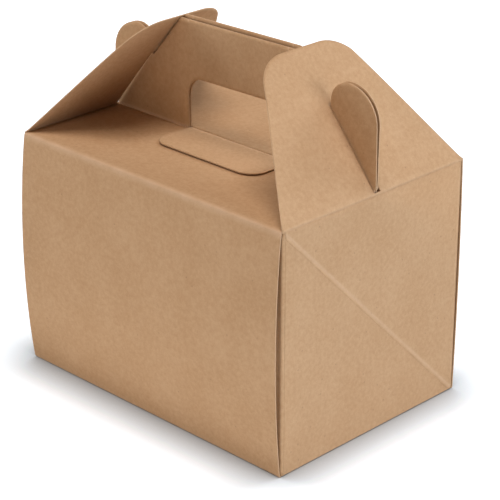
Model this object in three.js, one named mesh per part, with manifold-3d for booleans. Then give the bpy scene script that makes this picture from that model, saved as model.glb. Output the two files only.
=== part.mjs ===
// A carry box folded from one blank of kraft board, in millimetres, +Z up.
// The origin is at the middle of the bottom face. The long walls face -Y (front) and +Y (rear).
// One strip of board runs front handle, front lid, front wall, bottom, rear wall, rear lid, rear handle.
// The end walls fold up from the bottom, with glue flaps turned in behind the front and rear walls.
// An end flap leans in from the top of each end wall and locks over the hooks at the handle's ends.
import * as THREE from "three";
import { mergeVertices } from "three/addons/utils/BufferGeometryUtils.js";
import Module from "manifold-3d";

const wasm = await Module();
wasm.setup();

// Board and box
const boardThickness = 0.5;
const boxLength = 200;
const boxDepth = 142;
const boxHeight = 140;
const frontBow = 4.4;
const rearBow = 1.3;
const foldRadius = 0.8;
const stripInset = 0.4;
const lidInset = 1;

// Handle, made of two sheets that stand side by side and spread a little towards their top
const handleHeight = 65;
const handleFootGap = 0.6;
const handleTopGap = 2.7;
const handleFootRise = 0.3;
const handleCornerRadius = 1.2;
const fingerHoleLength = 79;
const fingerHoleHeight = 32.4;
const fingerHoleRadius = 11;
const tongueReach = 30.3;
const tongueRadius = 10.6;
const tongueClearance = 0.4;
const tongueStep = 0.35;

// Hooks at the handle's ends
const hookHeight = 55.5;
const hookOuterRadius = 19.5;
const hookInnerRadius = 10;
const hookInset = 0.3;
const notchUpFlap = 49.4;
const notchClearance = 0.45;
const gripEndGap = 1;

// End walls and their glue flaps
const endWallTopGap = 0.3;
const cornerRadius = 1.2;
const glueFlapWidth = 22;
const glueFlapTaper = 4;
const glueFlapEndGap = 2.5;
const glueStripWidth = 10;
const flapToWallGap = 0.35;
const glueBite = 0.08;
const creaseWidth = 2.4;
const creaseRise = 0.25;
const creaseEndGap = 5;

// End flaps
const flapLean = THREE.MathUtils.degToRad(40);
const endFlapHeight = 87;
const endFlapBaseWidth = 140.8;
const endFlapTopWidth = 59;
const endFlapCornerRadius = 24;
const slotWidth = 4.4;
const slotClearance = 1;
const hingeStandOff = 0.2;
const hingeGap = 0.45;

// Resolution of the curved stretches
const wallSteps = 10;
const glueFlapSteps = 12;
const arcSteps = 6;
const foldSteps = 3;

// Levels and planes that several pieces share
const halfBoard = boardThickness / 2;
const wallMiddle = boxDepth / 2 - halfBoard;
const lidMiddle = boxHeight - halfBoard;
const footMiddle = (handleFootGap + boardThickness) / 2;
const topMiddle = (handleTopGap + boardThickness) / 2;
const sheetReach = topMiddle + boardThickness;
const lidCrease = footMiddle + foldRadius;
const handleFoot = boxHeight + handleFootRise;
const handleTop = boxHeight + handleHeight;
const holeTop = boxHeight + fingerHoleHeight;
const tongueLevel = boxHeight + tongueStep + halfBoard;
const tuckedLevel = boxHeight - boardThickness - tongueStep - halfBoard;
const hingeX = boxLength / 2 + hingeStandOff;
const overshoot = 5;

const kraftBoard = new THREE.MeshStandardMaterial({ color: 0xbc9468, roughness: 0.85, metalness: 0 });

// Closed three.js geometry to a solid, and back.
function toSolid(geometry) {
  const bare = geometry.clone();
  bare.deleteAttribute("normal");
  bare.deleteAttribute("uv");
  const merged = mergeVertices(bare, 1e-4);
  return new wasm.Manifold(
    new wasm.Mesh({
      numProp: 3,
      vertProperties: new Float32Array(merged.attributes.position.array),
      triVerts: new Uint32Array(merged.index.array),
    }),
  );
}

function toGeometry(solid) {
  const mesh = solid.getMesh();
  const geometry = new THREE.BufferGeometry();
  geometry.setAttribute("position", new THREE.BufferAttribute(new Float32Array(mesh.vertProperties), 3));
  geometry.setIndex(new THREE.BufferAttribute(new Uint32Array(mesh.triVerts), 1));
  geometry.computeVertexNormals();
  return geometry;
}

function boxBetween(low, high) {
  const size = high.map((value, i) => value - low[i]);
  const geometry = new THREE.BoxGeometry(...size);
  geometry.translate(...high.map((value, i) => (value + low[i]) / 2));
  return toSolid(geometry);
}

function extruded(shape, depth) {
  const geometry = new THREE.ExtrudeGeometry(shape, { depth, bevelEnabled: false, curveSegments: arcSteps });
  return geometry.translate(0, 0, -depth / 2);
}

// A shape drawn in y and z, run along x and centred on x = 0.
function alongX(shape, length) {
  const toWorld = new THREE.Matrix4().set(0, 0, 1, 0, 1, 0, 0, 0, 0, 1, 0, 0, 0, 0, 0, 1);
  return toSolid(extruded(shape, length).applyMatrix4(toWorld));
}

// A shape drawn in x and z, run along y and centred on y = middle.
function alongY(shape, length, middle) {
  return toSolid(extruded(shape, length).rotateX(Math.PI / 2).translate(0, middle, 0));
}

// A shape drawn in x and y, run up z and centred on z = middle.
function alongZ(shape, length, middle) {
  return toSolid(extruded(shape, length).translate(0, 0, middle));
}

// Rounds the corners of an open path: each entry is [a, b, radius], radius 0 for a plain point.
function roundedPath(corners, steps) {
  return corners.flatMap(([a, b, radius], index) => {
    const here = new THREE.Vector2(a, b);
    if (!radius) return [here];
    const before = new THREE.Vector2(...corners[index - 1]).sub(here).normalize();
    const after = new THREE.Vector2(...corners[index + 1]).sub(here).normalize();
    const half = Math.acos(before.dot(after)) / 2;
    const middle = before.clone().add(after).normalize();
    const centre = middle.multiplyScalar(radius / Math.sin(half)).add(here);
    const first = here.clone().addScaledVector(before, radius / Math.tan(half)).sub(centre);
    const last = here.clone().addScaledVector(after, radius / Math.tan(half)).sub(centre);
    const sweep = Math.atan2(first.cross(last), first.dot(last));
    return Array.from({ length: steps + 1 }, (_, i) => {
      const angle = first.angle() + (sweep * i) / steps;
      return new THREE.Vector2(Math.cos(angle), Math.sin(angle)).multiplyScalar(radius).add(centre);
    });
  });
}

// The two edges, left then right, of a board of even thickness whose middle follows the path.
function boardEdges(path) {
  const along = path.map((point, i) => {
    const into = point.clone().sub(path[Math.max(i - 1, 0)]);
    const out = path[Math.min(i + 1, path.length - 1)].clone().sub(point);
    if (i === 0) into.copy(out);
    if (i === path.length - 1) out.copy(into);
    into.normalize();
    const mean = into.clone().add(out.normalize()).normalize();
    return mean.divideScalar(mean.dot(into));
  });
  return [1, -1].map((side) =>
    path.map((p, i) => new THREE.Vector2(p.x - along[i].y * side * halfBoard, p.y + along[i].x * side * halfBoard)),
  );
}

function boardOutline(path) {
  const [left, right] = boardEdges(path);
  return new THREE.Shape([...left, ...right.reverse()]);
}

// A standing board whose plan follows pathAt(z) at each level, closed at both ends and edges.
function loftedBoard(levels, pathAt) {
  const rings = levels.map((z) => {
    const [left, right] = boardEdges(pathAt(z));
    return [...left, ...right.reverse()].map((p) => [p.x, p.y, z]);
  });
  const count = rings[0].length;
  const index = [];
  const quad = (a, b, c, d) => index.push(a, b, c, a, c, d);
  for (let row = 0; row + 1 < rings.length; row += 1) {
    for (let i = 0; i < count; i += 1) {
      const next = (i + 1) % count;
      quad(row * count + i, row * count + next, (row + 1) * count + next, (row + 1) * count + i);
    }
  }
  const top = (rings.length - 1) * count;
  for (let i = 0; i + 1 < count / 2; i += 1) {
    quad(i, count - 1 - i, count - 2 - i, i + 1);
    quad(top + i, top + i + 1, top + count - 2 - i, top + count - 1 - i);
  }
  const geometry = new THREE.BufferGeometry();
  geometry.setAttribute("position", new THREE.Float32BufferAttribute(rings.flat(2), 3));
  geometry.setIndex(index);
  const solid = toSolid(geometry);
  return solid.volume() < 0 ? toSolid(flipped(geometry)) : solid;
}

function flipped(geometry) {
  const index = Array.from(geometry.index.array);
  for (let i = 0; i < index.length; i += 3) [index[i], index[i + 1]] = [index[i + 1], index[i]];
  return geometry.clone().setIndex(index);
}

// How far a wall stands out at a height, in a shallow arc from fold to fold.
function bowAt(bow, height) {
  const share = THREE.MathUtils.clamp((height - halfBoard) / (lidMiddle - halfBoard), 0, 1);
  return 4 * bow * share * (1 - share);
}

// The strip's middle line in y and z, from the front handle round to the rear handle.
function stripPath() {
  const wall = (side, bow) =>
    Array.from({ length: wallSteps - 1 }, (_, i) => {
      const height = halfBoard + ((lidMiddle - halfBoard) * (i + 1)) / wallSteps;
      return [side * (wallMiddle + bowAt(bow, height)), height, 0];
    });
  return roundedPath(
    [
      [-topMiddle, handleTop, 0],
      [-footMiddle, lidMiddle, foldRadius],
      [-wallMiddle, lidMiddle, foldRadius],
      ...wall(-1, frontBow).reverse(),
      [-wallMiddle, halfBoard, foldRadius],
      [wallMiddle, halfBoard, foldRadius],
      ...wall(1, rearBow),
      [wallMiddle, lidMiddle, foldRadius],
      [footMiddle, lidMiddle, foldRadius],
      [topMiddle, handleTop, 0],
    ],
    foldSteps,
  );
}

// A point in x and z of the right end flap: up from its hinge, and out from its outer face.
function onEndFlap(up, out) {
  return new THREE.Vector2(
    hingeX - up * Math.sin(flapLean) + out * Math.cos(flapLean),
    boxHeight + up * Math.cos(flapLean) + out * Math.sin(flapLean),
  );
}

function arc(centre, radius, fromDegrees, toDegrees) {
  return Array.from({ length: arcSteps + 1 }, (_, i) => {
    const angle = THREE.MathUtils.degToRad(fromDegrees + ((toDegrees - fromDegrees) * i) / arcSteps);
    return new THREE.Vector2(Math.cos(angle), Math.sin(angle)).multiplyScalar(radius).add(centre);
  });
}

// The round top of the right hook in x and z, from its outer edge over to its inner edge.
function hookTop() {
  const level = boxHeight + hookHeight;
  const x = boxLength / 2 - hookInset - hookOuterRadius;
  const outer = arc(new THREE.Vector2(x, level - hookOuterRadius), hookOuterRadius, 0, 90);
  const inner = arc(new THREE.Vector2(x, level - hookInnerRadius), hookInnerRadius, 90, 180);
  return [...outer, ...inner.slice(1)];
}

// The handle's outline in x and z: a hook outside each end flap, a notch beside it, and the grip between.
function handleOutline() {
  const hook = hookTop();
  const notchOut = onEndFlap(notchUpFlap, notchClearance);
  const notchIn = onEndFlap(notchUpFlap, -boardThickness - gripEndGap);
  const topCornerX = notchIn.x - (handleTop - notchIn.y) * Math.tan(flapLean);
  const grip = roundedPath(
    [
      [notchIn.x, notchIn.y, 0],
      [topCornerX, handleTop, handleCornerRadius],
      [0, handleTop, 0],
    ],
    foldSteps,
  ).slice(0, -1);
  const right = [new THREE.Vector2(hook[0].x, handleFoot - overshoot), ...hook, notchOut, ...grip];
  const left = right.map((p) => new THREE.Vector2(-p.x, p.y)).reverse();
  return new THREE.Shape([...right, ...left]);
}

// A panel that is straight across its fold and rounded at the far side, for the tongues and finger holes.
function tonguePanel(halfWidth, from, to, radius) {
  return new THREE.Shape(
    roundedPath(
      [
        [-halfWidth, from, 0],
        [-halfWidth, to, radius],
        [halfWidth, to, radius],
        [halfWidth, from, 0],
      ],
      arcSteps,
    ),
  );
}

// One handle sheet, leaning out from its foot to its top by half the change of the gap.
function handleSheet(side) {
  const lean = (topMiddle - footMiddle) / handleHeight;
  const outline = extruded(handleOutline(), boardThickness).rotateX(Math.PI / 2);
  outline.translate(0, side * footMiddle, -boxHeight);
  outline.applyMatrix4(new THREE.Matrix4().makeShear(0, 0, 0, 0, 0, side * lean));
  return toSolid(outline.translate(0, 0, boxHeight));
}

// The long strip, with the lids cut short, the handle sheets cut to shape and the finger holes through them.
function strip() {
  const far = boxLength / 2 + overshoot;
  const aboveFoot = boxBetween([-far, -sheetReach, handleFoot], [far, sheetReach, handleTop + overshoot]);
  const whole = alongX(boardOutline(stripPath()), boxLength - 2 * stripInset);
  let solid = whole.subtract(aboveFoot);
  for (const side of [-1, 1]) solid = solid.add(handleSheet(side).intersect(aboveFoot));
  const lidEnd = boxLength / 2 - lidInset;
  const lidFoot = boxHeight - boardThickness - foldRadius / 2;
  for (const [from, to] of [[lidEnd, far], [-far, -lidEnd]]) {
    solid = solid.subtract(boxBetween([from, -boxDepth / 2, lidFoot], [to, boxDepth / 2, handleFoot]));
  }
  const halfHole = fingerHoleLength / 2;
  const hole = tonguePanel(halfHole, boxHeight, holeTop, fingerHoleRadius);
  const rearFold = boxBetween(
    [-halfHole, -handleFootGap / 2, boxHeight - 1.5 * boardThickness],
    [halfHole, lidCrease, handleFoot],
  );
  return solid.subtract(alongY(hole, 2 * sheetReach, 0)).subtract(rearFold);
}

// The front handle's cut-out steps down from the front lid and is tucked under the rear lid.
function tuckedTongue() {
  const halfWidth = fingerHoleLength / 2 - tongueClearance;
  const root = -lidCrease - foldRadius;
  const panel = tonguePanel(halfWidth, root - boardThickness, tongueReach, tongueRadius);
  const step = boxBetween([-halfWidth, root - boardThickness, tuckedLevel - halfBoard], [halfWidth, root, lidMiddle]);
  return alongZ(panel, boardThickness, tuckedLevel).add(step);
}

// Both end walls with the bottom between them, bent up in one piece.
function endWalls() {
  const x = boxLength / 2 - halfBoard;
  const top = boxHeight - endWallTopGap;
  const path = roundedPath(
    [
      [-x, top, 0],
      [-x, halfBoard, cornerRadius],
      [x, halfBoard, cornerRadius],
      [x, top, 0],
    ],
    foldSteps,
  );
  return alongY(boardOutline(path), 2 * (glueFlapMiddle() - cornerRadius), 0);
}

function glueFlapMiddle() {
  return boxDepth / 2 - boardThickness - flapToWallGap - halfBoard;
}

// The vertical corner of an end wall with its glue flap, which bends out to follow the bowed wall.
function glueFlap(sideX, sideY) {
  const bow = sideY < 0 ? frontBow : rearBow;
  const bottom = glueFlapEndGap;
  const top = boxHeight - glueFlapEndGap;
  const wallX = boxLength / 2 - halfBoard;
  const levels = Array.from({ length: glueFlapSteps + 1 }, (_, i) => bottom + ((top - bottom) * i) / glueFlapSteps);
  return loftedBoard(levels, (z) => {
    const taper = glueFlapTaper * Math.abs((2 * z - top - bottom) / (top - bottom)) ** 4;
    const gluedY = wallMiddle - boardThickness + glueBite + bowAt(bow, z);
    return roundedPath(
      [
        [sideX * wallX, sideY * (glueFlapMiddle() - 2 * cornerRadius), 0],
        [sideX * wallX, sideY * glueFlapMiddle(), cornerRadius],
        [sideX * (wallX - glueFlapWidth + glueStripWidth), sideY * gluedY, 0],
        [sideX * (wallX - glueFlapWidth + taper), sideY * gluedY, 0],
      ],
      foldSteps,
    );
  });
}

// The crease that runs across an end wall from its top front corner to its bottom rear corner.
function diagonalCrease(sideX) {
  const length = Math.hypot(boxDepth, boxHeight) - 2 * creaseEndGap;
  const geometry = new THREE.BoxGeometry(boardThickness + creaseRise, creaseWidth, length);
  geometry.rotateX(Math.atan2(boxDepth, boxHeight));
  const x = boxLength / 2 + (creaseRise - boardThickness) / 2;
  return toSolid(geometry.translate(sideX * x, 0, boxHeight / 2));
}

function carton() {
  let solid = strip().add(tuckedTongue()).add(endWalls());
  for (const sideX of [-1, 1]) {
    for (const sideY of [-1, 1]) solid = solid.add(glueFlap(sideX, sideY));
    solid = solid.add(diagonalCrease(sideX));
  }
  return solid;
}

// An end flap: a tapering panel with round corners, open below where the hook comes through its slot.
// The slot is long enough for the hook to pass as the flap swings.
function endFlap(sideX) {
  const reach = Math.max(...hookTop().map((p) => Math.hypot(p.x - hingeX, p.y - boxHeight)));
  const slotRound = new THREE.Vector2(0, reach + slotClearance);
  const outline = roundedPath(
    [
      [endFlapBaseWidth / 2, hingeGap, 0],
      [endFlapTopWidth / 2, endFlapHeight, endFlapCornerRadius],
      [-endFlapTopWidth / 2, endFlapHeight, endFlapCornerRadius],
      [-endFlapBaseWidth / 2, hingeGap, 0],
      [-slotWidth / 2, hingeGap, 0],
    ],
    arcSteps,
  );
  outline.push(...arc(slotRound, slotWidth / 2, 180, 0), new THREE.Vector2(slotWidth / 2, hingeGap));
  const place = new THREE.Matrix4().makeBasis(
    new THREE.Vector3(0, 1, 0),
    new THREE.Vector3(-Math.sin(flapLean), 0, Math.cos(flapLean)),
    new THREE.Vector3(Math.cos(flapLean), 0, Math.sin(flapLean)),
  );
  const geometry = extruded(new THREE.Shape(outline), boardThickness).translate(0, 0, -halfBoard);
  geometry.applyMatrix4(place).translate(hingeX, 0, boxHeight);
  if (sideX < 0) geometry.rotateZ(Math.PI);
  return toSolid(geometry);
}

// The rear handle's cut-out, folded forward through the front hole to lie over the front lid.
function fingerTongue() {
  const halfWidth = fingerHoleLength / 2 - tongueClearance;
  const panel = tonguePanel(halfWidth, lidCrease - tongueClearance, -tongueReach, tongueRadius);
  return alongZ(panel, boardThickness, tongueLevel);
}

const pieces = {
  carton: carton(),
  end_flap_right: endFlap(1),
  end_flap_left: endFlap(-1),
  finger_tongue: fingerTongue(),
};

const carryBox = new THREE.Group();
carryBox.name = "carry_box";
for (const [name, solid] of Object.entries(pieces)) {
  const mesh = new THREE.Mesh(toGeometry(solid), kraftBoard.clone());
  mesh.name = name;
  carryBox.add(mesh);
}

export default carryBox;
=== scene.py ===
"""Dresses the carry box: every panel of kraft board is a fine curved sheet with its creases and cut edges.

Lengths in the panels' classes are millimetres in the part's frame (origin under the middle of the
bottom, front wall facing -Y, +Z up). They become metres where a mesh is made. The studio's places
and the material's scales are in metres.
"""

import logging
import math
from dataclasses import dataclass, field
from enum import Enum
from typing import Any

import bpy
import numpy as np
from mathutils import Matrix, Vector
from numpy.typing import NDArray


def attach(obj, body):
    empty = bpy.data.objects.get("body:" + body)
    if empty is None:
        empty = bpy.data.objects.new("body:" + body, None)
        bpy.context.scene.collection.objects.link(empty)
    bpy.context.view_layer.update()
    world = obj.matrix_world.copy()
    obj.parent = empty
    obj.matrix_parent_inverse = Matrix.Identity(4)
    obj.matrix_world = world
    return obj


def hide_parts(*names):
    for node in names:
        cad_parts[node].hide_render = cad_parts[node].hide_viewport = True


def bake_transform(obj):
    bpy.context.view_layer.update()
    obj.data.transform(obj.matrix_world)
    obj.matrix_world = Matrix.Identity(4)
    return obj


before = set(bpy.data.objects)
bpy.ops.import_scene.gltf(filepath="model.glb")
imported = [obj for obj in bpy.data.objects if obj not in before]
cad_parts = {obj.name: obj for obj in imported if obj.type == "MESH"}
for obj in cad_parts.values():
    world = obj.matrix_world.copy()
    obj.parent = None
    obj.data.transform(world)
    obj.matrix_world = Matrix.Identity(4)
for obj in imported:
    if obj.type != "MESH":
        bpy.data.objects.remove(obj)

Array = NDArray[np.float64]
Mask = NDArray[np.bool_]
Numbers = NDArray[np.int64]
Triple = tuple[float, float, float]
Colour = tuple[float, float, float, float]

MM = 0.001
QUARTER = math.pi / 2
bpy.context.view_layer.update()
log = logging.getLogger("carry_box")


class Side(Enum):
    """Which of a pair of mirrored panels: the sign of the axis that it stands on."""

    NEGATIVE = -1
    POSITIVE = 1

    @property
    def end(self) -> str:
        """Name of the box's end on this side of the X axis."""
        return "right" if self is Side.POSITIVE else "left"

    @property
    def face(self) -> str:
        """Name of the box's long face on this side of the Y axis."""
        return "rear" if self is Side.POSITIVE else "front"


@dataclass(frozen=True)
class CartonSizes:
    """The sizes that the panels share.

    They are the solids' sizes, but for the finger hole, which is half a millimetre lower here, and
    the power, which makes the long walls' bow a little fuller than a plain arc.
    """

    length: float = 200.0
    depth: float = 142.0
    height: float = 140.0
    board: float = 0.5
    front_bow: float = 4.4
    rear_bow: float = 1.3
    bow_power: float = 0.92
    fold_radius: float = 0.8
    strip_half: float = 99.6
    lid_half: float = 99.0
    end_wall_top: float = 139.2
    sheet_foot: float = 0.55
    sheet_top: float = 1.6
    handle_height: float = 65.0
    hole_half: float = 39.5
    hole_height: float = 31.9
    hole_radius: float = 11.0
    lean: float = math.radians(40.0)
    hinge_x: float = 100.2

    @property
    def half_board(self) -> float:
        """Half the board's thickness."""
        return self.board / 2

    @property
    def wall_x(self) -> float:
        """How far out the middle of an end wall's board stands."""
        return self.length / 2 - self.half_board

    @property
    def wall_y(self) -> float:
        """How far out the middle of a long wall's board stands at its folds."""
        return self.depth / 2 - self.half_board

    @property
    def lid_z(self) -> float:
        """Level of the middle of the lids' board."""
        return self.height - self.half_board

    @property
    def lid_crease(self) -> float:
        """How far from the middle plane a lid ends and its handle sheet's fold starts."""
        return self.sheet_foot + self.fold_radius


# Small shapes worked out on arrays.


def hump(distance: Array, width: float) -> Array:
    """A bell curve: one at no distance, falling off over the width.

    Args:
        distance: Distances from the hump's middle.
        width: Distance at which the curve has fallen to 0.37.

    Returns:
        The curve's height at each distance.
    """
    return np.exp(-((distance / width) ** 2))


@dataclass(frozen=True)
class Ridge:
    """A ridge, groove or tone along a line: a bell curve whose top has a height and a place."""

    height: float
    place: float
    width: float

    def at(self, distance: Array) -> Array:
        """Its height at each distance from the line that its place is counted from."""
        return self.height * hump(distance - self.place, self.width)


def bow(share: Array) -> Array:
    """A shallow arc over a panel: none at either fold and one in the middle.

    Args:
        share: How far along the panel each point is, from 0 to 1.

    Returns:
        Four times the share times what is left of it.
    """
    inside = np.clip(share, 0.0, 1.0)
    return 4.0 * inside * (1.0 - inside)


def eased(share: Array) -> Array:
    """A rise from 0 to 1 that starts and ends level.

    Args:
        share: How far along the rise each point is, from 0 to 1.

    Returns:
        Three times the share's square less twice its cube.
    """
    inside = np.clip(share, 0.0, 1.0)
    return inside * inside * (3.0 - 2.0 * inside)


def round_drop(share: Array) -> Array:
    """How far a quarter circle of radius 1 has dropped from its top.

    Args:
        share: How far out from the top each point is, from 0 to 1.

    Returns:
        One less the root of what the share's square leaves of one.
    """
    inside = np.clip(share, 0.0, 1.0)
    return 1.0 - np.sqrt(1.0 - inside**2)


def surface(x: Array, y: Array, z: Array) -> Array:
    """Points of a grid from their coordinates, each of which is spread over the whole grid first."""
    return np.stack(np.broadcast_arrays(x, y, z), axis=2)


def mirrored(half: Array) -> Array:
    """Stations on both sides of the middle from those on its positive side, in rising order."""
    return np.unique(np.round(np.concatenate([-half, half]), 6))


def cell_middles(stations: Array) -> Array:
    """How far from the middle each column of cells is, from the stations between the columns."""
    return np.abs(stations[:-1] + stations[1:]) / 2


def folded_path(corners: list[Triple], spans: list[int], arc_steps: int = 7) -> Array:
    """A path of straight stretches with round folds between them.

    Each fold is an arc of its radius, tangent to both stretches.

    Args:
        corners: Corner points with their fold radius, which is 0 at the two ends.
        spans: Number of steps along each straight stretch.
        arc_steps: Number of steps round each fold.

    Returns:
        The path's points, one row each.
    """
    points = [np.array(corner[:2]) for corner in corners]
    pieces: list[Array] = []
    start = points[0]
    for index, steps in enumerate(spans):
        here, there = points[index], points[index + 1]
        ahead = (there - here) / np.linalg.norm(there - here)
        radius = corners[index + 1][2]
        if index + 2 >= len(points):
            pieces.append(start + (there - start) * np.linspace(0, 1, steps + 1)[:, None])
            break
        after = points[index + 2] - there
        after = after / np.linalg.norm(after)
        turn = math.atan2(ahead[0] * after[1] - ahead[1] * after[0], float(ahead @ after))
        stop = there - ahead * radius * math.tan(abs(turn) / 2)
        pieces.append((start + (stop - start) * np.linspace(0, 1, steps + 1)[:, None])[:-1])
        angle = np.linspace(0, abs(turn), arc_steps + 1)[:, None]
        left = np.array([-ahead[1], ahead[0]]) * math.copysign(1.0, turn)
        arc = stop + radius * (ahead * np.sin(angle) + left * (1 - np.cos(angle)))
        pieces.append(arc[:-1])
        start = arc[-1]
    return np.concatenate(pieces)


@dataclass
class Sheet:
    """A panel of board: the middle surface on a grid, which cells of it are there, and its creases."""

    middle: Array
    keep: Mask | None = None
    crease: Array | None = None
    thickness: float = CartonSizes.board

    def turned_over(self) -> "Sheet":
        """The same sheet with its columns in the other order, which turns its faces over.

        Returns:
            A new sheet.
        """
        keep = None if self.keep is None else self.keep[:, ::-1]
        crease = None if self.crease is None else self.crease[:, ::-1]
        return Sheet(self.middle[:, ::-1], keep, crease, self.thickness)

    def facing(self, side: Side) -> "Sheet":
        """The sheet for one of two mirrored panels: turned over on the positive side, else as it is."""
        return self.turned_over() if side is Side.POSITIVE else self

    def build(self, name: str) -> bpy.types.Object:
        """Makes the closed board: both faces at half the thickness from the middle, and a rim.

        A point of a face is the middle point plus or minus half the thickness along the surface's
        normal, which is the cross product of the grid's two directions. The rim joins the faces
        along each cell edge that only one kept cell has.

        Args:
            name: The new object's name.

        Returns:
            The object, with attributes for its cut rim and its creases.
        """
        rows, columns = self.middle.shape[:2]
        normal = np.cross(np.gradient(self.middle, axis=0), np.gradient(self.middle, axis=1))
        normal /= np.maximum(np.linalg.norm(normal, axis=2, keepdims=True), 1e-12)
        offset = normal * self.thickness / 2
        points = np.concatenate([self.middle + offset, self.middle - offset]).reshape(-1, 3)
        count = rows * columns
        index = np.arange(count).reshape(rows, columns)
        cells = np.stack([index[:-1, :-1], index[1:, :-1], index[1:, 1:], index[:-1, 1:]], axis=2)
        keep = np.ones(cells.shape[:2], bool) if self.keep is None else self.keep
        front = cells[keep]
        starts = front.ravel()
        ends = np.roll(front, -1, axis=1).ravel()
        lone = ~np.isin(starts * count + ends, ends * count + starts)
        start, end = starts[lone], ends[lone]
        rim = np.stack([end, start, start + count, end + count], axis=1)
        faces = np.concatenate([front, front[:, ::-1] + count, rim])
        used, flat = np.unique(faces, return_inverse=True)
        faces = flat.reshape(faces.shape)
        crease = np.zeros(count) if self.crease is None else self.crease.ravel()
        cut = np.concatenate([np.zeros(2 * len(front)), np.ones(len(rim))])
        return mesh_object(name, points[used], faces, np.tile(crease, 2)[used], cut)


def mesh_object(name: str, points: Array, faces: Numbers, crease: Array, cut: Array) -> bpy.types.Object:
    """Puts points in millimetres and four-sided faces into a new object in metres.

    Args:
        name: Name of the object and its mesh.
        points: One row per point.
        faces: One row of four point numbers per face.
        crease: How strong the pale crease tone, which is partly a painted highlight, is at each point.
        cut: One for each face of the cut rim, otherwise zero.

    Returns:
        The object, at the origin, linked into the scene.
    """
    mesh = bpy.data.meshes.new(name)
    mesh.vertices.add(len(points))
    mesh.vertices.foreach_set("co", (points * MM).astype(np.float32).ravel())
    mesh.loops.add(faces.size)
    mesh.loops.foreach_set("vertex_index", faces.astype(np.int32).ravel())
    mesh.polygons.add(len(faces))
    mesh.polygons.foreach_set("loop_start", np.arange(0, faces.size, 4, dtype=np.int32))
    mesh.polygons.foreach_set("use_smooth", cut < 0.5)
    mesh.attributes.new("crease", "FLOAT", "POINT").data.foreach_set("value", crease.astype(np.float32))
    mesh.attributes.new("cut", "FLOAT", "FACE").data.foreach_set("value", cut.astype(np.float32))
    mesh.update(calc_edges=True)
    mesh.validate()
    made = bpy.data.objects.new(name, mesh)
    bpy.context.scene.collection.objects.link(made)
    return made


# Shader nodes written as expressions.


@dataclass(frozen=True)
class Value:
    """A socket of a shader graph, so that sums of sockets read as Python sums."""

    graph: "Graph"
    socket: bpy.types.NodeSocket

    def _with(self, operation: str, *values: Any) -> "Value":
        """Adds one Math node on these values."""
        return self.graph.value("ShaderNodeMath", {"operation": operation}, dict(enumerate(values)))

    def __add__(self, other: Any) -> "Value":
        """Sum."""
        return self._with("ADD", self, other)

    __radd__ = __add__

    def __sub__(self, other: Any) -> "Value":
        """Difference."""
        return self._with("SUBTRACT", self, other)

    def __rsub__(self, other: Any) -> "Value":
        """Difference, the other way round."""
        return self._with("SUBTRACT", other, self)

    def __mul__(self, other: Any) -> "Value":
        """Product."""
        return self._with("MULTIPLY", self, other)

    __rmul__ = __mul__

    def maximum(self, other: Any) -> "Value":
        """The larger of the two."""
        return self._with("MAXIMUM", self, other)

    def above(self, low: float, high: float) -> "Value":
        """Rises smoothly from 0 at low to 1 at high."""
        settings = {"interpolation_type": "SMOOTHSTEP"}
        return self.graph.value("ShaderNodeMapRange", settings, {0: self, 1: low, 2: high})


@dataclass(frozen=True)
class Grain:
    """One size of noise: grains to the metre, its layers of detail and how strong the finer ones are."""

    scale: float
    detail: float
    roughness: float = 0.55


class Graph:
    """The node graph of one material or world, empty at first."""

    def __init__(self, owner: bpy.types.Material | bpy.types.World) -> None:
        """Clears the owner's nodes.

        Args:
            owner: The material or world whose nodes these are.
        """
        owner.use_nodes = True
        self.tree = owner.node_tree
        self.tree.nodes.clear()

    def node(self, kind: str, settings: dict[str, Any], inputs: dict[Any, Any]) -> bpy.types.Node:
        """Adds any node.

        Args:
            kind: The node's type name.
            settings: Its own settings, set before its sockets.
            inputs: Values or links of its sockets, by name or number.

        Returns:
            The new node.
        """
        made = self.tree.nodes.new(kind)
        for key, setting in settings.items():
            setattr(made, key, setting)
        for key, value in inputs.items():
            source = value.socket if isinstance(value, Value) else value
            if isinstance(source, bpy.types.NodeSocket):
                self.tree.links.new(source, made.inputs[key])
            else:
                made.inputs[key].default_value = value
        return made

    def value(self, kind: str, settings: dict[str, Any], inputs: dict[Any, Any], output: Any = 0) -> Value:
        """Adds a node and gives one of its outputs as a value."""
        return Value(self, self.node(kind, settings, inputs).outputs[output])

    def noise(self, place: Value, grain: Grain) -> Value:
        """Noise of one size, about 0.5 on average."""
        look = {"Scale": grain.scale, "Detail": grain.detail, "Roughness": grain.roughness}
        return self.value("ShaderNodeTexNoise", {}, {"Vector": place, **look}, "Fac")

    def blend(self, share: Value | float, one: Any, other: Any) -> Value:
        """Mixes two colours: one where the share is 0, the other where it is 1."""
        return self.value("ShaderNodeMix", {"data_type": "RGBA"}, {0: share, 6: one, 7: other}, 2)

    def seen(self) -> Value:
        """One for rays that show the surroundings, 0 for rays that light the object.

        Returns:
            The largest of Is Camera Ray, Is Glossy Ray and Is Transmission Ray.
        """
        outputs = self.node("ShaderNodeLightPath", {}, {}).outputs
        camera = Value(self, outputs["Is Camera Ray"])
        return camera.maximum(outputs["Is Glossy Ray"]).maximum(outputs["Is Transmission Ray"])

    def attribute(self, name: str) -> Value:
        """A number that the mesh holds at its points or faces."""
        return self.value("ShaderNodeAttribute", {"attribute_name": name}, {}, "Fac")


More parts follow.
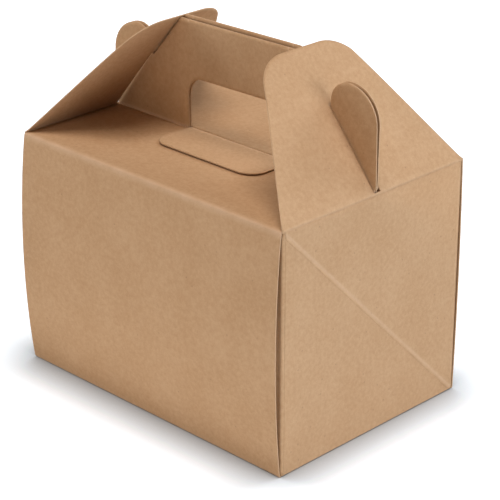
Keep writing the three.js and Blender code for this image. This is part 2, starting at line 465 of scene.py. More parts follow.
@dataclass(frozen=True)
class KraftBoard:
    """Uncoated brown kraft board: mottled pulp, fine fibres, a few dark specks, pale cut edges and pale
    creases, which are partly a painted highlight.

    A weight is how much a grain counts in the mottle, a share is how much of a colour is mixed in, a
    stretch scales a fibre's noise along each axis, and a range is where a pattern goes from 0 to 1.
    """

    name: str = "kraft_board"
    board: Colour = (0.545, 0.350, 0.199, 1.0)
    shade: Colour = (0.470, 0.286, 0.151, 1.0)
    light: Colour = (0.610, 0.413, 0.253, 1.0)
    # fold: the creases' pale colour, partly the board's own crease and partly a painted highlight along the
    # rounded folds
    fold: Colour = (0.700, 0.505, 0.350, 1.0)
    cut: Colour = (0.640, 0.450, 0.290, 1.0)
    speck: Colour = (0.200, 0.110, 0.055, 1.0)
    cloud_grain: Grain = Grain(38.0, 3.0)
    pulp_grain: Grain = Grain(420.0, 4.0, 0.65)
    fine_grain: Grain = Grain(2600.0, 2.0)
    fibre_grain: Grain = Grain(1500.0, 2.0, 0.5)
    speck_scale: float = 230.0
    cloud_weight: float = 0.45
    pulp_weight: float = 0.9
    fine_weight: float = 0.5
    plain_share: float = 0.22
    fibre_share: float = 0.22
    dark_fibre_share: float = 0.16
    speck_share: float = 0.35
    crease_highlight_share: float = 0.45
    crease_highlight_grain_share: float = 0.5
    cut_share: float = 0.8
    mottle_range: tuple[float, float] = (0.1, 0.9)
    fibre_range: tuple[float, float] = (0.60, 0.72)
    core_range: tuple[float, float] = (0.04, 0.16)
    pick_range: tuple[float, float] = (0.93, 0.97)
    along_stretch: Triple = (1.0, 0.22, 0.3)
    across_stretch: Triple = (0.2, 1.0, 0.9)
    dark_stretch: Triple = (0.35, 0.4, 1.0)
    roughness: float = 0.82
    roughness_range: float = 0.2
    gloss: float = 0.05
    relief: float = 0.35
    relief_height: float = 0.00004
    pulp_relief: float = 0.6
    fine_relief: float = 0.5

    def make(self) -> bpy.types.Material:
        """Builds the material.

        The pulp is noise of three sizes. Pale and dark fibres, specks, the folds' pale tone, which is
        partly a painted highlight, and cut edges are mixed over it in that order. The relief is the pulp's
        noise with the pale fibres.

        Returns:
            The material.
        """
        material = bpy.data.materials.new(self.name)
        graph = Graph(material)
        place = graph.value("ShaderNodeTexCoord", {}, {}, "Object")
        pulp = graph.noise(place, self.pulp_grain)
        fine = graph.noise(place, self.fine_grain)
        along = self.fibres(graph, place, self.along_stretch)
        pale = along.maximum(self.fibres(graph, place, self.across_stretch))
        dark = self.fibres(graph, place, self.dark_stretch)
        base = self.mottle(graph, place, pulp, fine)
        base = graph.blend(pale * self.fibre_share, base, self.light)
        base = graph.blend(dark * self.dark_fibre_share, base, self.shade)
        base = graph.blend(self.specks(graph, place) * self.speck_share, base, self.speck)
        # Pale crease with painted highlight: the crease attribute mixes in the fold colour.
        crease_highlight_share = graph.attribute("crease") * (self.crease_highlight_share + fine * self.crease_highlight_grain_share)
        base = graph.blend(crease_highlight_share, base, self.fold)
        base = graph.blend(graph.attribute("cut") * self.cut_share, base, self.cut)
        height = pulp * self.pulp_relief + fine * self.fine_relief + pale * self.fine_relief
        bump = {"Strength": self.relief, "Distance": self.relief_height, "Height": height}
        inputs = {
            "Base Color": base,
            "Roughness": self.roughness + (pulp - 0.5) * self.roughness_range,
            "Normal": graph.value("ShaderNodeBump", {}, bump, "Normal"),
            "Specular IOR Level": self.gloss,
        }
        shader = graph.value("ShaderNodeBsdfPrincipled", {}, inputs)
        graph.node("ShaderNodeOutputMaterial", {}, {"Surface": shader})
        return material

    def mottle(self, graph: Graph, place: Value, pulp: Value, fine: Value) -> Value:
        """The pulp's colour: shade to light by the weighted noises, with some of the plain board.

        Args:
            graph: The material's graph.
            place: Object coordinates.
            pulp: Noise of the pulp's clumps.
            fine: The finest noise.

        Returns:
            The colour.
        """
        cloud = graph.noise(place, self.cloud_grain)
        swing = (cloud - 0.5) * self.cloud_weight + (pulp - 0.5) * self.pulp_weight
        dark = (0.5 - (swing + (fine - 0.5) * self.fine_weight)).above(*self.mottle_range)
        return graph.blend(self.plain_share, graph.blend(dark, self.light, self.shade), self.board)

    def fibres(self, graph: Graph, place: Value, stretch: Triple) -> Value:
        """Thin streaks: the peaks of noise that is longer along one axis than along the others."""
        spread = graph.value("ShaderNodeMapping", {}, {"Vector": place, "Scale": stretch})
        return graph.noise(spread, self.fibre_grain).above(*self.fibre_range)

    def specks(self, graph: Graph, place: Value) -> Value:
        """Small dark flecks: the cores of the few cells whose own random colour is near its top.

        Args:
            graph: The material's graph.
            place: Object coordinates.

        Returns:
            One inside a fleck and 0 outside.
        """
        cells = graph.node("ShaderNodeTexVoronoi", {}, {"Vector": place, "Scale": self.speck_scale}).outputs
        core = 1 - Value(graph, cells["Distance"]).above(*self.core_range)
        pick = graph.value("ShaderNodeSeparateColor", {}, {"Color": cells["Color"]})
        return core * pick.above(*self.pick_range)


@dataclass
class Panel:
    """One finished piece of board and the body that it is handed to when it has no bend.

    Its bend names the body that takes over, and the places at which it starts and finishes doing so;
    placing the piece does not apply it.
    """

    name: str
    sheet: Sheet
    body: str = "carton"
    node: str | None = None
    bend: tuple[str, Triple, Triple] | None = None

    def place(self, material: bpy.types.Material) -> bpy.types.Object:
        """Builds the piece and dresses it, then hands it to its body, or, where it has a bend, only bakes
        its place into its mesh.

        Args:
            material: The board's material.

        Returns:
            The finished object.
        """
        made = self.sheet.build(self.name)
        made.data.materials.append(material)
        if self.bend is None:
            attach(made, self.body)
        else:
            moving, start, end = self.bend
            [v * MM for v in start]
            [v * MM for v in end]
            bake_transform(made)
        if self.node:
            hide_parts(self.node)
        return made


@dataclass
class Wrap:
    """The strip that makes the front lid, front wall, bottom, rear wall and rear lid.

    The bow taper is the share by which the walls' bow falls towards the right end and grows towards
    the left one. The fold room is the stretch beside a fold that counts as neither lid nor bottom.
    The wander is how unevenly the folds' tone runs, by two waves in radians to the millimetre.
    """

    sizes: CartonSizes = field(default_factory=CartonSizes)
    bow_taper: float = 0.14
    front_dip: float = 0.5
    rear_dip: float = 0.2
    fold_room: float = 1.2
    # crease_width and foot_tone shape the folds' pale tone, which is partly a painted highlight.
    crease_width: float = 1.6
    foot_tone: float = 0.4
    wander: float = 0.2
    waves: tuple[float, float] = (0.37, 0.11)

    def corners(self) -> list[Triple]:
        """Corners of the path in y and z, with their fold radius, from the front lid to the rear one.

        Returns:
            Six corners, of which the front three mirror the rear three.
        """
        s = self.sizes
        rear = [
            (s.wall_y, s.half_board, s.fold_radius),
            (s.wall_y, s.lid_z, s.fold_radius),
            (s.lid_crease, s.lid_z, 0.0),
        ]
        return [(-y, z, radius) for y, z, radius in reversed(rear)] + rear

    def middle(self, path: Array, x: Array) -> Array:
        """The strip's middle: the path carried along x, with its long walls bowed and its lids dipped.

        A wall stands out by the fuller arc of its height. A lid sinks by an arc both ways.

        Args:
            path: The path's points in y and z.
            x: Stations along the box.

        Returns:
            The grid's points.
        """
        s = self.sizes
        out, up = path[:, :1], path[:, 1:]
        share = (up - s.half_board) / (s.lid_z - s.half_board)
        reach = np.where(out < 0, -s.front_bow, s.rear_bow)
        y = out + reach * bow(share) ** s.bow_power * (1.0 - self.bow_taper * (x / s.strip_half))
        on_lid = (share > 0.999) & (np.abs(out) < s.wall_y - self.fold_room)
        sink = np.where(out < 0, self.front_dip, self.rear_dip) * on_lid
        inward = (s.wall_y - np.abs(out)) / (s.wall_y - s.lid_crease)
        z = up - sink * bow(inward) * bow((x / s.lid_half + 1) / 2)
        return surface(x, y, z)

    def kept(self, path: Array, x: Array) -> Mask:
        """Which cells are there: the lids and the bottom end short of the end walls' folds."""
        flat = cell_middles(path[:, 0]) < self.sizes.wall_y - self.fold_room
        return ~(flat[:, None] & (cell_middles(x) > self.sizes.lid_half))

    def creases(self, path: Array, x: Array) -> Array:
        """Pale tone of the folds, partly the board's crease and partly a painted highlight: bell curves of
        the distance from each corner, a little uneven along x.

        Args:
            path: The path's points in y and z.
            x: Stations along the box.

        Returns:
            The tone at each point of the grid.
        """
        tone = np.zeros(len(path))
        # Painted highlight and pale crease along each fold; the bottom folds get the weaker foot tone.
        for y, z, _ in self.corners()[1:-1]:
            strength = 1.0 if z > self.sizes.half_board else self.foot_tone
            distance = np.hypot(path[:, 0] - y, path[:, 1] - z)
            tone = np.maximum(tone, strength * hump(distance, self.crease_width))
        uneven = np.sin(x * self.waves[0]) * np.sin(x * self.waves[1] + 1.0)
        return tone[:, None] * (1 - self.wander + self.wander * uneven)

    def panels(self) -> list[Panel]:
        """The strip with its folds, cut back under the end walls' folds and beside the finger hole.

        Returns:
            The one panel.
        """
        s = self.sizes
        path = folded_path(self.corners(), [26, 44, 16, 44, 26])
        at_hole = np.linspace(0, s.hole_half, 9)
        beside_hole = np.linspace(s.hole_half, s.lid_half, 17)
        x = mirrored(np.concatenate([at_hole, beside_hole, [s.strip_half]]))
        sheet = Sheet(self.middle(path, x), self.kept(path, x), self.creases(path, x))
        return [Panel("long_walls_and_lids", sheet, node="carton")]


@dataclass
class Handle:
    """The two handle sheets with their hooks, and the two cut-outs of their finger hole.

    Places along x are distances from the middle, and heights are over the lid. The chamfer takes off
    the grip's upper corner. The nick is a pale mark on the grip's edge. The tilt is the slope at
    which the handle rises to the right. The step is how far one cut-out lies over the front lid and
    the other under the rear one.
    """

    sizes: CartonSizes = field(default_factory=CartonSizes)
    grip_half: float = 45.0
    chamfer: float = 1.2
    chamfer_drop: float = 1.1
    notch_height: float = 38.6
    notch_in: float = 67.0
    notch_out: float = 67.9
    nick: Ridge = Ridge(1.6, 38.0, 0.3)
    hook_end: float = 100.0
    hook_middle: float = 80.2
    hook_height: float = 54.6
    hook_inner_radius: float = 12.0
    foot: float = 0.5
    rear_extra: float = 1.2
    tilt: float = 0.0175
    grip_bulge: float = 0.35
    foot_bead: Ridge = Ridge(0.3, 0.7, 0.5)
    foot_tone: Ridge = Ridge(1.0, 0.5, 1.1)
    tongue_groove: Ridge = Ridge(-0.1, 0.5, 0.3)
    tongue_tone: Ridge = Ridge(0.5, 0.9, 0.5)
    tongue_bend_end: float = -0.25
    tongue_reach: float = 30.3
    tongue_radius: float = 10.6
    tongue_lift: float = 0.4
    tongue_corner_lift: float = 0.15
    cut_gap: float = 0.4
    step: float = 0.62

    @property
    def lip(self) -> float:
        """Where the hook's inner round starts."""
        return self.hook_middle - self.hook_inner_radius

    @property
    def hole_flat(self) -> float:
        """Half the length of the straight stretch of the hole's upper edge."""
        return self.sizes.hole_half - self.sizes.hole_radius

    @property
    def cut_half(self) -> float:
        """Half the length of a cut-out."""
        return self.sizes.hole_half - self.cut_gap

    def outline(self, x: Array, extra: float) -> Array:
        """Height of a handle sheet's upper edge.

        From the middle outwards: the level grip, the slanted end along the end flap, the notch,
        then the hook's inner round and its outer round.

        Args:
            x: Distances from the middle, all positive.
            extra: How much taller this sheet's grip is.

        Returns:
            The upper edge's height at each distance.
        """
        inner, outer = self.hook_inner_radius, self.hook_end - self.hook_middle
        round_in = self.hook_height - inner * round_drop((self.hook_middle - x) / inner)
        round_out = self.hook_height - outer * round_drop((x - self.hook_middle) / outer)
        top = self.sizes.handle_height + extra
        knots = [
            (0.0, top),
            (self.grip_half - self.chamfer, top),
            (self.grip_half, top - self.chamfer_drop),
            (self.notch_in, self.notch_height),
            (self.notch_out, self.notch_height),
            (self.lip, self.hook_height - inner),
        ]
        straight = np.interp(x, *zip(*knots))
        return np.where(x < self.lip, straight, np.where(x < self.hook_middle, round_in, round_out))

    def stations(self) -> Array:
        """Columns of the sheets, close together at the hole's corners, the notch and the hook's rounds.

        Returns:
            Places along x, in rising order.
        """
        turn = np.linspace(0, QUARTER, 12)
        nick_room, chamfer_room = 0.4, 0.5
        parts = [
            np.linspace(0, self.hole_flat, 8),
            self.hole_flat + self.sizes.hole_radius * np.sin(turn),
            [self.nick.place - nick_room, self.nick.place, self.nick.place + nick_room],
            [self.grip_half - self.chamfer, self.grip_half - chamfer_room],
            np.linspace(self.grip_half, self.notch_in, 9),
            [self.notch_out, (self.notch_out + self.lip) / 2],
            self.hook_middle - self.hook_inner_radius * np.cos(turn),
            self.hook_middle + (self.hook_end - self.hook_middle) * np.sin(turn),
            [self.sizes.lid_half],
        ]
        return mirrored(np.concatenate(parts))

    def sheet(self, side: Side) -> Panel:
        """One handle sheet, from its fold at the lid up to its cut edge.

        A column is a quarter arc out of the lid, then straight up to the hole's corners' level and
        on to the outline. Over the hole only the part above the hole's edge is there.

        Args:
            side: NEGATIVE for the front sheet and POSITIVE for the rear one.

        Returns:
            The panel.
        """
        s = self.sizes
        x = self.stations()
        away = np.abs(x)
        shoulder = s.lid_z + s.hole_height - s.hole_radius
        extra = self.rear_extra if side is Side.POSITIVE else 0.0
        upper = s.height + self.outline(away, extra)
        hole_edge = shoulder + s.hole_radius * (1 - round_drop((away - self.hole_flat) / s.hole_radius))
        lower = np.where(away < s.hole_half, hole_edge, shoulder)
        foot = np.where(away > s.lid_half, s.height + self.foot, s.lid_z + s.fold_radius)
        turn = np.linspace(0, QUARTER, 6)[:, None]
        fold = s.lid_z + s.fold_radius * (1 - np.cos(turn)) + 0 * x
        wing = foot + (shoulder - foot) * np.linspace(0, 1, 13)[1:-1, None]
        z = np.concatenate([fold, wing, lower + (upper - lower) * np.linspace(0, 1, 17)[:, None]])
        y = np.full_like(z, s.sheet_foot)
        y[: len(fold)] = s.lid_crease - s.fold_radius * np.sin(turn)
        y += self.spread(x, z - s.height)
        z += self.tilt * x * np.clip((z - s.height) / (0.5 * s.hole_height), 0, 1)
        keep = np.ones((len(z) - 1, len(x) - 1), bool)
        keep[: len(fold) + len(wing), cell_middles(x) < s.hole_half] = False
        keep[: len(fold), cell_middles(x) > s.lid_half] = False
        crease = self.foot_tone.at(z - s.lid_z)
        crease[-1] = np.maximum(crease[-1], self.nick.at(away))
        sheet = Sheet(surface(x, side.value * y, z), keep, crease)
        return Panel(f"handle_sheet_{side.face}", sheet.facing(side))

    def spread(self, x: Array, height: Array) -> Array:
        """How far a sheet stands out from its foot's plane.

        It rises evenly with the height, with a little more at the middle of the grip, and a bead
        pressed out along the fold at its foot.

        Args:
            x: Stations along the box.
            height: Each point's height.

        Returns:
            How far each point stands out.
        """
        s = self.sizes
        rise = np.clip(height / s.handle_height, 0, 1)
        inside = np.clip(1 - (x / self.notch_out) ** 2, 0, 1)
        bulge = self.grip_bulge * rise**1.5 * inside
        return (s.sheet_top - s.sheet_foot) * rise + bulge + self.foot_bead.at(height)

    def cut_out_grid(self) -> tuple[Array, Array, Array]:
        """The grid that both cut-outs share.

        A column runs from the fold under one lid, close together there, over the middle plane to the
        free edge, which is round at both ends. The step rises smoothly between the lids' folds.

        Returns:
            The stations along x, how far past the middle plane each point is, and its step.
        """
        root = self.sizes.lid_crease
        turn = np.linspace(0, QUARTER, 16)
        flat = np.linspace(0, self.cut_half - self.tongue_radius, 10)
        x = mirrored(np.concatenate([flat, self.cut_half - self.tongue_radius * (1 - np.sin(turn))]))
        corner = (np.abs(x) - (self.cut_half - self.tongue_radius)) / self.tongue_radius
        edge = self.tongue_reach - self.tongue_radius * round_drop(corner)
        from_fold = np.array([0.0, 0.3, 0.6, 1.0, 1.6, 2.2, 2.9, 3.6])
        near = (from_fold - root)[:, None] + 0 * x
        far = near[-1] + (edge - near[-1]) * np.linspace(0, 1, 26)[1:, None]
        out = np.concatenate([near, far])
        return x, out, self.step * eased((out + root) / (2 * root))

    def tongue(self) -> Panel:
        """The rear sheet's cut-out, hinged on the rear lid and lying forward over the front lid.

        Its free edge is lifted as the square of the distance from the fold, its corners a little
        more, and a groove is pressed along its fold.

        Returns:
            The panel.
        """
        s = self.sizes
        root = s.lid_crease
        x, out, step = self.cut_out_grid()
        share = np.clip((out + root) / (self.tongue_reach + root), 0, 1)
        lift = self.tongue_lift * share**2 + self.tongue_corner_lift * share * (x / self.cut_half) ** 2
        level = s.lid_z + step + lift + self.tongue_groove.at(out + root)
        sheet = Sheet(surface(x, -out, level), None, self.tongue_tone.at(out + root))
        bend = ("finger_tongue", (0.0, root, s.lid_z), (0.0, self.tongue_bend_end, s.lid_z))
        return Panel("finger_tongue_sheet", sheet.turned_over(), node="finger_tongue", bend=bend)

    def tucked(self) -> Panel:
        """The front sheet's cut-out, which steps down and goes in under the rear lid."""
        x, out, step = self.cut_out_grid()
        return Panel("tucked_cut_out", Sheet(surface(x, out, self.sizes.lid_z - step)))

    def panels(self) -> list[Panel]:
        """Both sheets and both cut-outs."""
        return [self.sheet(Side.NEGATIVE), self.sheet(Side.POSITIVE), self.tongue(), self.tucked()]


@dataclass
class EndWall:
    """An end wall folded up from the bottom, with its diagonal crease and two glue flaps.

    The crease rows are the distances of the grid's rows from the diagonal. The dish is how far the
    wall sinks in at its middle. A glue flap bends within the bend length, lies out by the flap gap
    and follows a share of the long wall's bow. Beside its fold it stretches up and down to close
    the corner, and its free corners are cut back.
    """

    side: Side
    sizes: CartonSizes = field(default_factory=CartonSizes)
    half_width: float = 68.7
    corner_radius: float = 1.2
    crease_rows: tuple[float, ...] = (
        *(0.25, 0.5, 0.75, 1.0, 1.3, 1.6, 2.0, 2.6),
        *(3.6, 5.5, 9.0, 15.0, 26.0, 44.0, 72.0, 150.0),
    )
    bead: Ridge = Ridge(0.34, 0.5, 1.0)
    groove: Ridge = Ridge(-0.26, -0.9, 0.4)
    # crease_tone and fold_tone: pale tone on the diagonal crease and the bottom fold, the board's crease
    # and in part a painted highlight.
    crease_tone: Ridge = Ridge(0.5, 0.5, 1.1)
    crease_fade: float = 3.0
    fold_tone: float = 0.4
    dish: float = 0.3
    flap_width: float = 22.0
    flap_trim: float = 2.5
    flap_gap: float = 0.28
    bow_share: float = 0.84
    bend_length: float = 11.0
    corner_cut: float = 0.2
    corner_stretch: float = 1.7
    corner_reach: float = 3.0

    def wall(self) -> Panel:
        """The wall with its bottom fold and the crease across it.

        The grid's rows run close together on both sides of the diagonal. The crease is a raised
        bead beside a narrow groove, both bell curves of the distance from the diagonal.

        Returns:
            The panel.
        """
        s = self.sizes
        y = np.linspace(-self.half_width, self.half_width, 97)
        base = s.half_board + self.corner_radius
        line = s.height - (y + s.depth / 2)
        diagonal = np.clip(line, base, s.end_wall_top)
        rows = np.array(self.crease_rows)[:, None]
        share = np.arange(1, len(rows) + 1)[:, None] / len(rows)
        up = np.minimum(rows, (s.end_wall_top - diagonal) * share)
        down = np.minimum(rows, (diagonal - base) * share)
        z = np.concatenate([diagonal - down[::-1], diagonal[None, :], diagonal + up])
        distance = (z - line) / math.sqrt(2)
        fade = np.clip((s.depth / 2 - np.abs(y)) / self.crease_fade, 0, 1)
        sunk = self.dish * bow((y / self.half_width + 1) / 2) * bow(z / s.height)
        x = s.wall_x + (self.bead.at(distance) + self.groove.at(distance)) * fade - sunk
        turn = np.linspace(0, QUARTER, 7)[:-1, None]
        fold_x = s.wall_x - self.corner_radius * (1 - np.sin(turn)) + 0 * y
        fold_z = base - self.corner_radius * np.cos(turn) + 0 * y
        fold_tone = self.fold_tone * np.sin(2 * turn) + 0 * y
        # Pale crease tone, partly a painted highlight on the bead.
        tone = self.crease_tone.at(distance) * fade
        x, z, crease = (np.concatenate(pair) for pair in ((fold_x, x), (fold_z, z), (fold_tone, tone)))
        sheet = Sheet(surface(x * self.side.value, y, z), None, crease)
        return Panel(f"end_wall_{self.side.end}", sheet.facing(self.side))

    def glue_flap(self, long_side: Side) -> Panel:
        """A glue flap: it turns the corner, then bends out to lie on the bowed long wall.

        Args:
            long_side: The long wall that it is glued to.

        Returns:
            The panel.
        """
        s = self.sizes
        plane = self.half_width + self.corner_radius
        corners = [
            (s.wall_x, self.half_width, 0.0),
            (s.wall_x, plane, self.corner_radius),
            (s.wall_x - self.flap_width, plane, 0.0),
        ]
        path = folded_path(corners, [1, 30])
        inward = s.wall_x - path[:, 0]
        level = np.linspace(self.flap_trim, s.height - self.flap_trim, 48)[:, None]
        share = (level - s.height / 2) / (s.height / 2 - self.flap_trim)
        bend = eased((inward - self.corner_radius) / self.bend_length)
        reach = self.bow_share * (s.front_bow if long_side is Side.NEGATIVE else s.rear_bow)
        y = path[:, 1] + bend * (self.flap_gap + reach * bow(level / s.height) ** s.bow_power)
        x = s.wall_x - inward * (1 - self.corner_cut * np.abs(share) ** 8 * bend)
        at_corner = 1 - np.clip(inward / self.corner_reach, 0, 1)
        z = level + self.corner_stretch * share * at_corner
        sheet = Sheet(surface(x * self.side.value, y * long_side.value, z))
        name = f"glue_flap_{self.side.end}_{long_side.face}"
        return Panel(name, sheet if self.side is long_side else sheet.turned_over())

    def panels(self) -> list[Panel]:
        """The wall and its two glue flaps."""
        return [self.wall(), self.glue_flap(Side.NEGATIVE), self.glue_flap(Side.POSITIVE)]


@dataclass
class EndFlap:
    """The slotted flap that leans in from the top of an end wall and locks on the hooks.

    Its height and the slot's foot and end are measured up the flap from its fold. The jog widens
    the slot's foot towards the rear. The insets are how far the slanted sides are trimmed in front
    and behind. The blend is how far in from the wall and up from the box the fold's motion ends.
    """

    side: Side
    sizes: CartonSizes = field(default_factory=CartonSizes)
    height: float = 87.0
    half_base: float = 70.4
    corner_middle: float = 14.18
    corner_radius: float = 24.0
    slope: float = 73.0 / 34.5
    slot_half: float = 1.75
    slot_foot: float = 0.85
    slot_jog: float = 1.5
    slot_end: float = 52.0
    slot_rows: int = 20
    fold_radius: float = 1.0
    # Pale tone along the fold: the board's crease and a painted highlight that lifts the fold's shaded
    # line.
    fold_tone: Ridge = Ridge(0.25, 0.0, 0.9)
    bulge: float = 1.2
    extra_lean: float = 0.0
    insets: tuple[float, float] = (0.5, 1.0)
    blend: tuple[float, float] = (0.5, 0.9)

    @property
    def lean(self) -> float:
        """How far the flap leans in from upright."""
        return self.sizes.lean + self.extra_lean

    @property
    def tangent(self) -> float:
        """Distance from the middle at which a corner's round runs into the slanted side."""
        return self.corner_middle + self.corner_radius * self.slope / math.hypot(1, self.slope)

    def outline(self, y: Array) -> Array:
        """How far up the flap reaches: straight slanted sides, round corners and a level top.

        Args:
            y: Stations across the flap.

        Returns:
            The flap's length at each station.
        """
        away = np.abs(y)
        drop = round_drop((away - self.corner_middle) / self.corner_radius)
        rounded = self.height - self.corner_radius * drop
        inset = np.where(y > 0, self.insets[1], self.insets[0])
        slanted = np.maximum((self.sizes.depth / 2 - away - inset) * self.slope, 0.4)
        return np.where(away < self.tangent, np.minimum(rounded, slanted), slanted)

    def stations(self) -> Array:
        """Columns of the flap, close together at the slot and at the corners' rounds.

        Returns:
            Places along y, in rising order.
        """
        corner = (self.tangent - self.corner_middle) * np.sin(np.linspace(0, QUARTER, 14))
        parts = [
            [0, self.slot_half],
            np.linspace(self.slot_half + self.slot_jog, self.corner_middle, 6),
            self.corner_middle + corner,
            np.linspace(self.tangent, self.half_base, 20),
        ]
        return mirrored(np.concatenate(parts))

    def lengths(self, y: Array) -> Array:
        """How far up the flap the grid's points are: rows along the slot, then rows over its end.

        Args:
            y: Stations across the flap.

        Returns:
            One row of lengths for each row of the grid.
        """
        upper = self.outline(y)
        low = np.minimum(self.slot_foot, upper * 0.5)
        at_slot = np.abs(y) <= self.slot_half + 1e-6
        split = np.maximum(np.where(at_slot, self.slot_end, upper * self.slot_end / self.height), low)
        beside = low + (split - low) * np.linspace(0, 1, self.slot_rows + 1)[1:, None]
        over = split + (upper - split) * np.linspace(0, 1, 15)[1:, None]
        return np.concatenate([beside, over])

    def on_flap(self, up: Array | float, out: Array | float) -> tuple[Array, Array]:
        """Where a point of the leaning flap is: so far along its lean and so far square to it.

        Args:
            up: Length up the flap from its fold.
            out: How far it stands out of the flap's plane.

        Returns:
            Its x and z on the right end.
        """
        s = self.sizes
        across = out - s.half_board
        x = s.hinge_x - up * math.sin(self.lean) + across * math.cos(self.lean)
        z = s.height + up * math.cos(self.lean) + across * math.sin(self.lean)
        return x, z

    def fold(self) -> Array:
        """Path up the wall's last stretch, round the fold and onto the flap's foot.

        Returns:
            The path's points in x and z, one row each.
        """
        s = self.sizes
        foot_x, foot_z = self.on_flap(0.0, 0.0)
        corner = (s.wall_x, foot_z + (foot_x - s.wall_x) / math.tan(self.lean), self.fold_radius)
        ends = (s.wall_x, s.end_wall_top, 0.0), (*self.on_flap(self.slot_foot, 0.0), 0.0)
        return folded_path([ends[0], corner, ends[1]], [2, 1], 8)

    def panels(self) -> list[Panel]:
        """The flap, from the last stretch of the wall under its fold to its cut edge.

        A column follows the fold's path, then goes up the leaning flap, which bulges by an arc of
        its length and a cosine across it.

        Returns:
            The one panel.
        """
        s = self.sizes
        y = self.stations()
        up = self.lengths(y)
        bulge = self.bulge * bow(up / self.height) * np.cos(y / self.half_base * QUARTER)
        fold = self.fold()
        lean_x, lean_z = self.on_flap(up, bulge)
        x = np.concatenate([fold[:, :1] + 0 * y, lean_x])
        z = np.concatenate([fold[:, 1:] + 0 * y, lean_z])
        foot = len(fold) - 1
        away = cell_middles(y)
        keep = np.ones((len(x) - 1, len(away)), bool)
        keep[foot : foot + self.slot_rows, away < self.slot_half] = False
        keep[foot, (away < self.slot_half + self.slot_jog) & (y[:-1] > 0)] = False
        # The fold's tone is partly a painted highlight over its shaded line.
        crease = np.zeros_like(x)
        crease[: len(fold)] = self.fold_tone.at(fold[:, 1:] - s.height)
        sheet = Sheet(surface(x * self.side.value, y, z), keep, crease)
        start = (self.side.value * s.wall_x, 0.0, s.end_wall_top)
        end = (self.side.value * (s.wall_x - self.blend[0]), 0.0, s.height + self.blend[1])
        name = f"end_flap_{self.side.end}"
        return [Panel(f"{name}_sheet", sheet.facing(self.side), node=name, bend=(name, start, end))]


def aim(made: bpy.types.Object, place: Triple, target: Triple) -> None:
    """Stands a lamp or the camera at its place, facing a target, and links it into the scene.

    Args:
        made: The lamp's or camera's object.
        place: Where it stands.
        target: The point that it faces.
    """
    made.location = place
    made.rotation_mode = "QUATERNION"
    made.rotation_quaternion = (Vector(target) - Vector(place)).to_track_quat("-Z", "Y")
    bpy.context.scene.collection.objects.link(made)


def grey(tone: float) -> Colour:
    """A grey of one tone."""
    return (tone, tone, tone, 1.0)


@dataclass(frozen=True)
class Lamp:
    """A soft square lamp, which the camera doesn't see."""

    name: str
    place: Triple
    size: float
    power: float
    colour: Triple = (1.0, 1.0, 1.0)
    target: Triple = (0.0, 0.0, 0.07)

    def make(self) -> None:
        """Sets the lamp up, facing its target."""
        data = bpy.data.lights.new(self.name, "AREA")
        data.size = self.size
        data.energy = self.power
        data.color = self.colour
        made = bpy.data.objects.new(self.name, data)
        made.visible_camera = False
        aim(made, self.place, self.target)


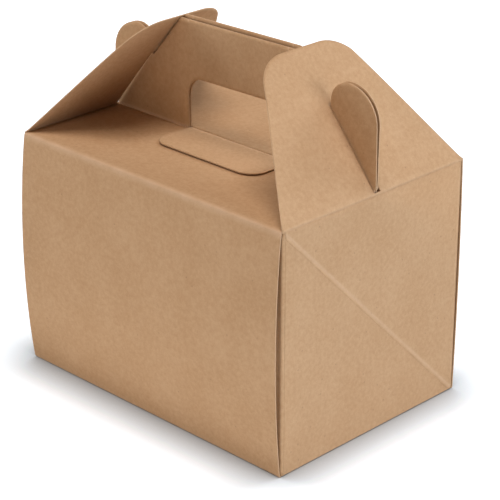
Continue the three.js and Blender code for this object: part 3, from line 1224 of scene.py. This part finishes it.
@dataclass
class Studio:
    """A white sweep with soft lamps, and the camera at the photograph's view.

    The glow lifts the floor to white for rays that show it, and turns white itself between two
    distances from the box. The shadow reach is how far the box darkens the floor beside it.
    """

    eye: Triple = (0.71382, -0.71305, 0.52614)
    target: Triple = (-0.00498, 0.01278, 0.07139)
    lens: float = 141.2
    sensor: float = 36.0
    clip: tuple[float, float] = (0.05, 50.0)
    ambient: float = 0.07
    floor_half: float = 6.0
    floor_level: float = -0.0001
    floor_tone: float = 0.9
    shadow_tone: float = 0.35
    shadow_reach: float = 0.028
    glow: Colour = (0.31, 0.41, 0.49, 1.0)
    white_near: float = 0.45
    white_far: float = 1.3
    lamps: tuple[Lamp, ...] = (
        Lamp("lamp_left", (-1.6, -0.8, 0.8), 0.9, 12.5, (1.0, 1.03, 1.05)),
        Lamp("lamp_right", (1.95, 0.15, 0.45), 0.88, 17.4, (1.0, 1.05, 1.12)),
        Lamp("lamp_top", (0.1, -0.1, 1.9), 0.9, 18.5, (1.0, 0.85, 0.74)),
        Lamp("lamp_front", (0.2, -1.9, 0.55), 0.9, 5.0, (1.0, 0.8, 0.62)),
        Lamp("lamp_rear", (0.3, 1.6, 1.2), 0.9, 14.0, (0.92, 1.02, 1.12)),
        Lamp("lamp_rear_left", (-1.2, 1.2, 1.1), 0.9, 3.0),
        Lamp("lamp_bounce", (0.03, -0.24, 0.004), 0.3, 0.135, (1.0, 1.06, 1.12), (0.03, -0.24, 1.0)),
    )

    def floor(self) -> None:
        """A wide floor just under the box."""
        corners = np.array([(-1, -1), (1, -1), (1, 1), (-1, 1)]) * self.floor_half
        points = np.column_stack([corners, np.full(4, self.floor_level)]) / MM
        made = mesh_object("floor", points, np.array([[0, 1, 2, 3]]), np.zeros(4), np.zeros(1))
        made.data.materials.append(self.sweep())

    def sweep(self) -> bpy.types.Material:
        """The floor's material: plain matt for rays that light the box, white for those that show it.

        The glow and the tone grow with the square of the share of the sky that is open at a spot,
        which deepens the shadow close to the box.

        Returns:
            The material.
        """
        material = bpy.data.materials.new("white_sweep")
        graph = Graph(material)
        plain = graph.value("ShaderNodeBsdfDiffuse", {}, {"Color": grey(self.floor_tone)})
        open_sky = graph.value("ShaderNodeAmbientOcclusion", {}, {"Distance": self.shadow_reach}, "AO")
        share = open_sky * open_sky
        tone = graph.blend(share, grey(self.shadow_tone), grey(self.floor_tone))
        shaded = graph.value("ShaderNodeBsdfDiffuse", {}, {"Color": tone})
        place = graph.value("ShaderNodeTexCoord", {}, {}, "Object")
        away = graph.value("ShaderNodeVectorMath", {"operation": "LENGTH"}, {0: place}, "Value")
        colour = graph.blend(away.above(self.white_near, self.white_far), self.glow, grey(1.0))
        glow = graph.value("ShaderNodeEmission", {}, {"Color": graph.blend(share, grey(0.0), colour)})
        shown = graph.value("ShaderNodeAddShader", {}, {0: shaded, 1: glow})
        mixed = graph.value("ShaderNodeMixShader", {}, {0: graph.seen(), 1: plain, 2: shown})
        graph.node("ShaderNodeOutputMaterial", {}, {"Surface": mixed})
        return material

    def world(self) -> None:
        """An even grey light all round, white where it is seen past the floor."""
        world = bpy.data.worlds.new("studio")
        bpy.context.scene.world = world
        graph = Graph(world)
        strength = graph.seen() * (1 - self.ambient) + self.ambient
        light = graph.value("ShaderNodeBackground", {}, {"Color": grey(1.0), "Strength": strength})
        graph.node("ShaderNodeOutputWorld", {}, {"Surface": light})

    def camera(self) -> None:
        """The camera, set by its eye, its target and its lens."""
        data = bpy.data.cameras.new("camera")
        data.lens = self.lens
        data.sensor_width = self.sensor
        data.clip_start, data.clip_end = self.clip
        made = bpy.data.objects.new("camera", data)
        aim(made, self.eye, self.target)
        bpy.context.scene.camera = made

    def set_up(self) -> None:
        """Floor, world, lamps and camera."""
        bpy.context.scene.view_settings.view_transform = "Standard"
        self.floor()
        self.world()
        for lamp in self.lamps:
            lamp.make()
        self.camera()


def main() -> None:
    """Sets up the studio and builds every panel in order."""
    logging.basicConfig(level=logging.INFO, format="%(message)s")
    Studio().set_up()
    board = KraftBoard().make()
    left_flap = EndFlap(
        Side.NEGATIVE,
        height=85.4,
        slot_end=49.4,
        bulge=0.9,
        extra_lean=math.radians(0.4),
        insets=(1.26, 1.26),
    )
    ends = [EndWall(Side.NEGATIVE), left_flap, EndWall(Side.POSITIVE), EndFlap(Side.POSITIVE)]
    for assembly in [Wrap(), Handle(), *ends]:
        for panel in assembly.panels():
            made = panel.place(board)
            log.info("%s: %d faces on %s", made.name, len(made.data.polygons), panel.body)


if __name__ == "__main__":
    main()
